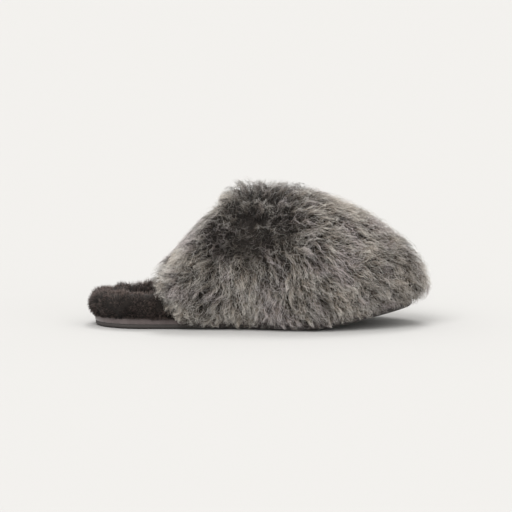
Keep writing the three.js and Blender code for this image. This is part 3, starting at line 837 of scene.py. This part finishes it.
    def tone(self):
        """Tone from 0, dark, to 1: lower locks are darker and raised locks paler, painted shade deep in the wool;
        strays and the rim are painted paler, a painted glow of light through the thin wool at the edges; crown and
        parting are darker.
        """
        root, lock = self.root, self.lock
        tone = (
            0.5
            + 0.14 * waves(root, 40, 31)
            + 0.07 * waves(root, 13, 32)
            # Painted shade: lower locks are darker and raised ones paler, as if shaded deep in the wool. The second
            # term is each lock's own random tone.
            + (0.85 * (self.raised - 0.5) + 0.4 * (hashed(lock, 7) - 0.5)) * (1 - 0.45 * self.at_toe)
            + 0.2 * (hashed(self.big_lock, 15) - 0.5)
            + 0.35 * (self.rng.uniform(size=self.count) - 0.5)
            - 0.38 * self.crown
            + 0.5 * self.upright * (hashed(lock, 18) - 0.5)
            + 0.16 * smooth(root[:, 0], 160, 195)
            + 0.12 * bump(root, FAN, FAN_REACH)
            - 0.1 * smooth(root[:, 0], 215, 250)
            # Painted light: the rim and the strays are paler, in place of the glow of light through the thin wool at
            # the edges.
            + 0.6 * self.edge
            + 0.25 * self.stray
        )
        return np.clip(tone, 0, 1) * (1 - np.where(self.stray, 0.2, 0.75) * self.whorl) * (1 - 0.1 * self.crown)

    def start(self):
        """Where on the way from root to tip each hair's colour begins: strays and the rim show only their pale tips,
        painted light for the glow at the edges.
        """
        return np.where(self.stray, 0.6, 0.75 * self.edge) * (1 - self.whorl)


def long_hairs(count, length, width, lock_size):
    """Paths, radii, tone and start of all the long hairs."""
    hairs = LongHairs(count, lock_size)
    depth, reach = hairs.measures(length)
    paths, sideways, outwards = hairs.grow(depth, reach)
    hairs.gather(paths)
    hairs.wave(paths, reach, sideways, outwards)
    return hairs.trim(paths), hairs.radii(width), hairs.tone(), hairs.start()


class SLIPPER_OT_long_wool(bpy.types.Operator):
    """Adds the long combed wool over the foot: a dense undercoat, and panels of strands rooted in it."""

    bl_idname = "slipper.long_wool"
    bl_label = "Long wool"

    def execute(self, context):
        sizes, colours = context.scene.slipper_sizes, context.scene.slipper_colours
        # Sheepskin fleece, combed: dark at the hide and sun-pale at the tips, so that locks stand out from each other.
        stops = [[0.0, colours.long_root], [0.32, "#463b33"], [0.6, colours.long_middle], [0.85, colours.long_tip]]
        hair = wool_material("combed_fleece", stops, "#30271f", "#ffffff", 0.25, 0.12)
        # Underwool: felted, seen only between the locks, and near black: partly its own colour, partly painted shade of
        # the deep wool between the locks.
        under = plain_material("underwool", "#14110f", "#2a2420", 1.6, 0.95, 0.6, 0.05)
        u, v = grid(np.linspace(0, 1, 44) ** ROWS_CLOSER, np.linspace(0, 1, 150))
        points, normals = hide_point(u, v), hide_normal(u, v)
        lumps = 1 + 0.18 * waves(points, 12, 3)
        outer = points + normals * (fur_depth(u, v) * UNDERCOAT * lumps + 0.6)[..., None]
        inner = points + normals * mix(UPPER_INSET + 2 * GAP, GAP, smooth(u, 0.02, 0.2))[..., None]
        new_piece("fur_undercoat", "vamp_fur", *shell(inner, outer), under)
        count = sizes.hairs * len(PANELS)
        hairs = long_hairs(count, sizes.long_hair / MM, sizes.hair_width / MM, sizes.lock_width / MM)
        for name, part in zip(PANELS, np.array_split(np.arange(count), len(PANELS))):
            new_strands(name, "vamp_fur", [values[part] for values in hairs], hair)
        return {"FINISHED"}


# The sheared wool.

PILE_STEPS = 4
PILE_WIDTH = 0.4
PILE_LOCK = 2.6
PILE_LEAN = 0.35
PILE_ROOT = 0.4  # height of the roots over the skin
PILE_FRIZZ = 0.35
COLLAR_BASE, BED_BASE, LINING_BASE = 0.62, 0.55, 0.5  # the dense part of each pile, as a share of its depth
COLLAR_HANG = FEATHER_Z + 9  # below this the collar's wool is shorter and hangs over the band


def pile(sheet, count, length, seed, weight=None, low=None):
    """Paths, radii, tone and start of short hairs that stand on a sheet, lean with a soft noise and curl a little.
    Below the height low they are shorter and hang down."""
    rng = np.random.default_rng(seed)
    i, j = sheet.scatter(count, rng, weight)
    root, normal = sheet.at(i, j, np.full(count, PILE_ROOT)), sheet.read(sheet.normals, i, j)
    lock = locks(root, PILE_LOCK, seed)
    share = np.arange(PILE_STEPS) / (PILE_STEPS - 1)
    tilt = eddies(root, 14, seed) * PILE_LEAN
    tilt += np.stack([hashed(lock, k) - 0.5 for k in range(3)], axis=1) * PILE_LEAN
    tilt += rng.normal(size=(count, 3)) * 0.22
    way = unit(normal + tilt)
    size = length * mix(0.72, 1.08, rng.uniform(size=count)) * mix(0.9, 1.1, hashed(lock, 8))
    if low is not None:
        hang = 1 - smooth(root[:, 2], low - 9, low)
        size *= mix(1, 0.4, hang)
        size *= 1 + 0.5 * smooth(root[:, 0], 12, 50) * smooth(root[:, 1], 0, 20) * np.maximum(normal[:, 2], 0)
        way = unit(way - np.array([0, 0, 0.9]) * hang[:, None])
    paths = root[:, None] + way[:, None] * (share[None, :, None] * size[:, None, None])
    paths[:, 1:] += tilt[:, None] * (share[1:, None] ** 2) * size[:, None, None] * 0.35
    paths[:, 1:] += rng.normal(size=(count, PILE_STEPS - 1, 3)) * PILE_FRIZZ
    middle = by_lock(paths, lock)
    paths += (middle - paths) * (share[None, :, None] ** 1.5) * 0.45
    thick = PILE_WIDTH / 2 * mix(0.8, 1.2, rng.uniform(size=count))[:, None] * (1 - 0.6 * share**2)[None]
    tone = 0.35 + 0.2 * waves(root, 16, seed + 5) + 0.9 * (hashed(lock, 9) - 0.5)
    # Painted highlight: hairs on parts that face up are paler, as if lit from above.
    tone = tone + 0.9 * (rng.uniform(size=count) - 0.5) + 0.4 * smooth(normal[:, 2], 0.4, 0.95)
    return paths, thick, np.clip(tone, 0, 1), np.zeros(count)


def collar_sheet(rise=0.0):
    """The heel collar's folded skin, raised along its normals by rise. Its section climbs the outer wall, goes over a
    half circle and down the inner wall, and is carried round the heel from the inner side to the outer side."""
    around = np.linspace(-1, 1, 90)
    climb = np.linspace(0, 1, 9)
    flat = 0 * climb[1:]
    turn = np.linspace(0, np.pi, 15)
    inset = np.concatenate([flat + UPPER_INSET, COLLAR_MIDDLE - np.cos(turn) * COLLAR_REACH, flat + COLLAR_INSET])
    outer_z, inner_z = mix(FEATHER_Z + 1, SHOULDER_Z, climb[:-1]), mix(SHOULDER_Z, BED_Z - 1, climb[1:])
    z = np.concatenate([outer_z, SHOULDER_Z + np.sin(turn) * COLLAR_REACH, inner_z])
    across = np.concatenate([flat - 1, -np.cos(turn), flat + 1])
    up = np.concatenate([flat, np.sin(turn), flat])
    low = 1 - smooth(z, FEATHER_Z, COLLAR_HANG)
    inset = inset + across * (rise * (1 - 0.75 * low * (across < 0)))
    z = z + up * rise
    share, inset = grid(around, inset)
    angle = share * np.arccos(1 - 2 * (edge_x(z) - COLLAR_CLEAR) / SOLE_LENGTH)
    x, y = outline(angle, inset)
    nx, ny = outline_normal(angle)
    return Sheet(xyz(x, y, z), unit(xyz(-nx * across, -ny * across, up)))


def bed_sheet():
    """The footbed: a flat grid in the sole's outline, inside the wool of the collar and the lining."""
    angle, across = grid(np.linspace(0.05, 2.5, 90), np.linspace(-1, 1, 30))
    along = SOLE_LENGTH * (1 - np.cos(angle)) / 2
    inset = mix(14.6, 9.0, smooth(along, 70, 95)) + 8 * smooth(along, 190, 238)
    x0, y0 = outline(angle, inset)
    x1, y1 = outline(-angle, inset)
    x, y = mix(x0, x1, (across + 1) / 2), mix(y0, y1, (across + 1) / 2)
    points = xyz(x, y, BED_Z + toe_lift(x))
    return Sheet(points, np.broadcast_to(np.array([0.0, 0.0, 1.0]), points.shape).copy())


def lining_sheet():
    """The lining's skin: the hide's surface moved inwards, from just over the footbed to the ridge."""
    u, v = grid(np.linspace(0.06, 1, 40), np.linspace(0, 1, 130))
    normals = hide_normal(u, v)
    points = hide_point(u, v) + normals * LINING_OFFSET
    return Sheet(points, -normals), v


class SLIPPER_OT_short_wool(bpy.types.Operator):
    """Adds the sheared wool of the heel collar, the footbed and the lining, each with its dense base."""

    bl_idname = "slipper.short_wool"
    bl_label = "Short wool"

    def execute(self, context):
        sizes, colours = context.scene.slipper_sizes, context.scene.slipper_colours
        # Sheared wool: dense, dull and dark, with paler cut ends. Where the wool faces up the hairs are painted paler,
        # a painted highlight of the light from above that frosts the rims.
        stops = [[0.0, colours.short_root], [0.55, colours.short_middle], [1.0, colours.short_tip]]
        hair = wool_material("sheared_wool", stops, "#3f3a38", "#ffffff", 0.2, 0.08)
        # The same wool packed close at its roots.
        base = plain_material("wool_base", "#120e0c", "#231c18", 1.2, 0.95, 0.5, 0.1)
        bed, (lining, v) = bed_sheet(), lining_sheet()
        bed_top = bed.points + np.array([0, 0, BED_PILE * BED_BASE])
        lining_top = lining.points + lining.normals * (LINING_PILE * LINING_BASE)
        shown_bed = 1 - 0.9 * smooth(bed.points[:-1, :-1, 0], 135, 160)
        shown_lining = smooth(np.abs(2 * v[:-1, :-1] - 1), 0.45, 0.7) + 0.02
        collar = collar_sheet(PILE_ROOT).points, collar_sheet(COLLAR_PILE * COLLAR_BASE).points
        for name, node, walls, sheet, count, seed, choice in (
            ("heel_collar", "heel_collar_wool", collar, collar_sheet(), 11000, 41, {"low": COLLAR_HANG}),
            ("footbed", "footbed_wool", (bed.points, bed_top), bed, 5500, 43, {"weight": shown_bed}),
            ("lining", "vamp_lining_wool", (lining.points, lining_top), lining, 6000, 47, {"weight": shown_lining}),
        ):
            new_piece(name + "_base", node, *shell(*walls), base)
            new_strands(name + "_pile", node, pile(sheet, count, sizes.short_pile / MM, seed, **choice), hair)
        return {"FINISHED"}


# The sole, its band and the opening's binding.

SOLE_STEPS = 360
BINDING_STEPS = 60
BINDING_ROUND = 20
BINDING_OUT = 0.8  # how far the binding stands over the hide


def ring(inset, z):
    """A ring of points round the sole at one inset and one height above its turned-up floor line."""
    angle = np.linspace(0, 2 * np.pi, SOLE_STEPS, endpoint=False)
    x, y = outline(angle, inset)
    return xyz(x, y, z + toe_lift(x))


def rounded(corners, radius):
    """A closed profile of [inset, height] with each corner replaced by a short arc of about the radius."""
    points = []
    corners = np.array(corners, float)
    t = np.linspace(0, 1, 5)[:, None]
    for before, corner, after in zip(np.roll(corners, 1, 0), corners, np.roll(corners, -1, 0)):
        a, b = unit(before - corner), unit(after - corner)
        reach = min(radius, np.linalg.norm(before - corner) / 2.2, np.linalg.norm(after - corner) / 2.2)
        start, stop = corner + a * reach, corner + b * reach
        points.append((1 - t) ** 2 * start + 2 * t * (1 - t) * corner + t**2 * stop)
    return np.concatenate(points)


class SLIPPER_OT_sole(bpy.types.Operator):
    """Adds the moulded outsole with its tread, the suede band round the midsole and the binding of the opening."""

    bl_idname = "slipper.sole"
    bl_label = "Sole"

    def execute(self, context):
        colours = context.scene.slipper_colours
        # Thermoplastic rubber, moulded: dull, with a fine even grain.
        rubber = plain_material("moulded_rubber", "#3f3b3a", colours.rubber, 0.9, 0.75, 0.25)
        # Suede: napped, with cloudy strokes and a soft bloom at glancing angles.
        suede = plain_material("suede", "#554c4b", colours.suede, 2.5, 0.95, 0.3, 0.5, fine_mm=0.5)
        new_piece("outsole_moulding", "outsole", *outsole_mesh(), rubber)
        new_piece("suede_band", "sole_wrap", *band_mesh(), suede)
        new_piece("suede_binding", "topline_binding", *binding_mesh(), suede)
        return {"FINISHED"}


def band_mesh():
    """The band: a rounded section, a little crowned outwards, carried round the sole."""
    low, high, inside = OUTSOLE + GAP * 0.3, FLARE_Z + 0.15, WRAP_THICKNESS
    profile = rounded([[-0.25, low], [-0.45, (low + high) / 2], [-0.1, high], [inside, high], [inside, low]], 0.8)
    rings = np.stack([ring(inset, z) for inset, z in profile])
    return rings, quads(numbered(rings), close_rows=True, close_columns=True)


def outsole_mesh():
    """The outsole: rings climb its rolled edge, and a grid of lines across the sole closes it above and below. The
    lower grid is pressed up where a groove crosses it."""
    turn = np.linspace(0, np.pi / 2, 7)
    wall = [[EDGE_ROLL * (1 - math.sin(t)), EDGE_ROLL * EDGE_ROLL_HEIGHT * (1 - math.cos(t))] for t in turn]
    wall += [[0.0, OUTSOLE - 0.5], [0.12, OUTSOLE - 0.15], [0.5, OUTSOLE]]
    rings = np.stack([ring(inset, z) for inset, z in wall])
    half = SOLE_STEPS // 2
    across = np.linspace(0, 1, 34)[1:-1]

    def cap(edge, z):
        """A grid of points across the sole, between the two halves of a ring."""
        points = mix(edge[1:half, None], edge[:half:-1, None], across[None, :, None])
        points[..., 2] = z + toe_lift(points[..., 0])
        return points

    low, high = cap(rings[0], 0.0), cap(rings[-1], OUTSOLE)
    x, y = low[..., 0], low[..., 1]
    place = np.mod(x / TREAD_PITCH, 1) * TREAD_PITCH
    groove = smooth(place, 0, 0.5) * (1 - smooth(place, TREAD_WIDTH, TREAD_WIDTH + 0.5))
    zone = sum((x > start * SOLE_LENGTH) & (x < stop * SOLE_LENGTH) for start, stop in TREAD_ZONES)
    edge = np.minimum(np.abs(y - low[:, :1, 1]), np.abs(y - low[:, -1:, 1]))
    low[..., 2] += TREAD_DEPTH * groove * zone * smooth(edge, TREAD_MARGIN - 4, TREAD_MARGIN - 2)
    wall_numbers = numbered(rings)
    low_numbers = numbered(low, wall_numbers.size)
    high_numbers = numbered(high, wall_numbers.size + low_numbers.size)
    faces = [quads(wall_numbers, close_columns=True)]
    for numbers, rim, way in ((low_numbers, wall_numbers[0], 1), (high_numbers, wall_numbers[-1], -1)):
        numbers = np.hstack([rim[1:half, None], numbers, rim[:half:-1, None]])
        heel, toe = np.full(numbers.shape[1], rim[0]), np.full(numbers.shape[1], rim[half])
        faces.append(quads(np.vstack([heel, numbers, toe]))[:, ::way])
    return np.concatenate([part.reshape(-1, 3) for part in (rings, low, high)]), np.vstack(faces)


def binding_mesh():
    """The folded binding: a rounded section carried along the opening's edge, over the instep from side to side."""
    u = np.linspace(0.03, 1, BINDING_STEPS)
    u = np.concatenate([u, u[-2::-1]])
    v = np.concatenate([np.ones(BINDING_STEPS), np.zeros(BINDING_STEPS - 1)])
    normal = hide_normal(u, v)
    inside = hide_point(u, np.abs(v - STEP)) - hide_point(u, v)
    other = hide_point(u, np.abs(1 - v - STEP)) - hide_point(u, 1 - v)
    inside = np.where((u >= 1)[:, None], inside + other, inside)
    back = unit(-(inside - normal * dot(inside, normal)))
    middle, reach = (BINDING_OUT + LINING_OFFSET) / 2, (BINDING_OUT - LINING_OFFSET) / 2
    turn = np.linspace(0, 2 * np.pi, BINDING_ROUND, endpoint=False)
    behind = 1.2 + 0.9 * np.cos(turn)
    out = middle + reach * np.sin(turn)
    points = hide_point(u, v)[:, None] + back[:, None] * behind[None, :, None] + normal[:, None] * out[None, :, None]
    numbers = numbered(points)
    ends = np.array([points[0].mean(0), points[-1].mean(0)])
    faces = [quads(numbers, close_columns=True)]
    for centre, a, b in (
        (numbers.size, np.roll(numbers[0], -1), numbers[0]),
        (numbers.size + 1, numbers[-1], np.roll(numbers[-1], -1)),
    ):
        faces.append(np.stack([np.full(BINDING_ROUND, centre), a, b, b], axis=1))
    return np.concatenate([points.reshape(-1, 3), ends]), np.vstack(faces)


LAYERS = (  # what plain_material is given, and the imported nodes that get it
    # Hide seen from its flesh side: brushed, cloudy, with a fine nap.
    (
        ("brushed_hide", "#4a403c", "#665952", 3.0, 0.95, 0.25, 0.3),
        ("footbed_skin", "heel_collar_skin", "vamp_lining_skin", "vamp_hide"),
    ),
    # Cushion foam: open cells about 1 mm across.
    (("cushion_foam", "#c9c2b2", "#e2dccf", 1.0, 0.95, 0.5), ("footbed_foam", "heel_collar_foam")),
    # Cellulose board: fibres and flecks, slightly polished by the press.
    (("fibre_board", "#8f7f68", "#ae9d83", 2.0, 0.85, 0.15), ("insole_board",)),
    # Thermoformed stiffener: a stiff fleece soaked in resin.
    (("stiffener", "#aba598", "#c9c3b7", 1.5, 0.8, 0.2), ("heel_counter", "toe_puff")),
    # Foamed midsole: closed cells under a dull skin.
    (("foamed_midsole", "#272524", "#373433", 1.2, 0.9, 0.2), ("midsole",)),
    # Felt filler: matted, a little lumpy.
    (("felt", "#7d7669", "#999284", 1.8, 0.95, 0.4), ("bottom_filler",)),
)


class SLIPPER_OT_inner_layers(bpy.types.Operator):
    """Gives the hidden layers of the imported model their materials."""

    bl_idname = "slipper.inner_layers"
    bl_label = "Inner layers"

    def execute(self, context):
        for recipe, nodes in LAYERS:
            material = plain_material(*recipe)
            for node in nodes:
                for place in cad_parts[node].material_slots:
                    place.material = material
        return {"FINISHED"}


# The stage.

VIEW_WIDTH = 426.5  # mm across the view at the slipper
CAMERA_DISTANCE = 4000.0
CAMERA_ELEVATION = 6.6
CAMERA_AIM = (133.7, 0.0, 57.0)  # mm, in sole coordinates
SENSOR = 36.0
PAPER_MM = 0.55  # tooth of the paper
FLOOR_HALF = 30.0  # m
SUNS = (  # name, where it stands, spread in degrees, power
    ("key", (-0.55, -1.0, 1.5), 40, 1.7),
    ("rim", (0.1, 0.7, 1.5), 25, 1.2),
    ("fill", (1.0, -0.8, 0.45), 60, 0.5),
)


class SLIPPER_OT_stage(bpy.types.Operator):
    """Adds the floor, the lights and the camera."""

    bl_idname = "slipper.stage"
    bl_label = "Stage"

    def execute(self, context):
        scene = context.scene
        material, tree = new_material("pale_paper")
        # Seamless paper: a faint tooth, and no gloss.
        place = add(tree, "ShaderNodeTexCoord").outputs["Object"]
        tooth = add(tree, "ShaderNodeTexNoise", {"Vector": place}, Scale=per_metre(PAPER_MM), Detail=2.0)
        colour = add(tree, RAMP, {"Fac": tooth.outputs[0]}, stops=[[0.3, "#bebdbc"], [0.7, "#c0bfbe"]]).outputs[0]
        matt = {"Roughness": 1.0, "Specular IOR Level": 0.0}
        paper = add(tree, SURFACE, {"Base Color": colour}, **matt)
        add(tree, "ShaderNodeOutputMaterial", {"Surface": paper.outputs[0]})
        mesh = bpy.data.meshes.new("floor")
        a = FLOOR_HALF
        mesh.from_pydata([(-a, -a, 0), (a, -a, 0), (a, a, 0), (-a, a, 0)], [], [(0, 1, 2, 3)])
        mesh.materials.append(material)
        floor = new_object("floor", mesh)

        world = bpy.data.worlds.new("studio")
        scene.world = world
        world.use_nodes = True
        sky = world.node_tree.nodes["Background"].inputs
        sky["Color"].default_value, sky["Strength"].default_value = srgb("#f2f1ed"), 1.0

        for name, place, spread, power in SUNS:
            light = bpy.data.lights.new(name, "SUN")
            light.angle, light.energy = math.radians(spread), power
            new_object(name, light).rotation_euler = Vector(place).to_track_quat("Z", "Y").to_euler()

        data = bpy.data.cameras.new("camera")
        data.sensor_width = SENSOR
        data.lens = SENSOR * CAMERA_DISTANCE / VIEW_WIDTH
        data.clip_start, data.clip_end = 0.1, 60.0
        camera = new_object("camera", data)
        aim = Vector((np.array(CAMERA_AIM) + ORIGIN) * MM)
        tilt = math.radians(CAMERA_ELEVATION)
        back = Vector((0, -math.cos(tilt), math.sin(tilt)))
        camera.location = aim + back * CAMERA_DISTANCE * MM
        camera.rotation_euler = (-back).to_track_quat("-Z", "Y").to_euler()
        scene.camera = camera
        scene.view_settings.view_transform = "Standard"
        return {"FINISHED"}


class SLIPPER_PT_panel(bpy.types.Panel):
    """Lists the slipper's parts."""

    bl_idname = "SLIPPER_PT_panel"
    bl_label = "House slipper"
    bl_space_type = "VIEW_3D"
    bl_region_type = "UI"
    bl_category = "Slipper"

    def draw(self, context):
        for group in (context.scene.slipper_sizes, context.scene.slipper_colours):
            for name in group.bl_rna.properties.keys():
                if name not in ("rna_type", "name"):
                    self.layout.prop(group, name)
        for operator in OPERATORS:
            self.layout.operator(operator.bl_idname)


OPERATORS = (
    SLIPPER_OT_stage,
    SLIPPER_OT_sole,
    SLIPPER_OT_inner_layers,
    SLIPPER_OT_short_wool,
    SLIPPER_OT_long_wool,
)
CLASSES = (SlipperSizes, SlipperColours, *OPERATORS, SLIPPER_PT_panel)


def register():
    """Registers the classes and hangs the settings on the scene."""
    for one in CLASSES:
        bpy.utils.register_class(one)
    bpy.types.Scene.slipper_sizes = bpy.props.PointerProperty(type=SlipperSizes)
    bpy.types.Scene.slipper_colours = bpy.props.PointerProperty(type=SlipperColours)


def unregister():
    """Takes the settings and the classes away again."""
    del bpy.types.Scene.slipper_colours
    del bpy.types.Scene.slipper_sizes
    for one in reversed(CLASSES):
        bpy.utils.unregister_class(one)


def main():
    """Builds the slipper."""
    register()
    for operator in OPERATORS:
        group, name = operator.bl_idname.split(".")
        getattr(getattr(bpy.ops, group), name)()


if __name__ == "__main__":
    main()
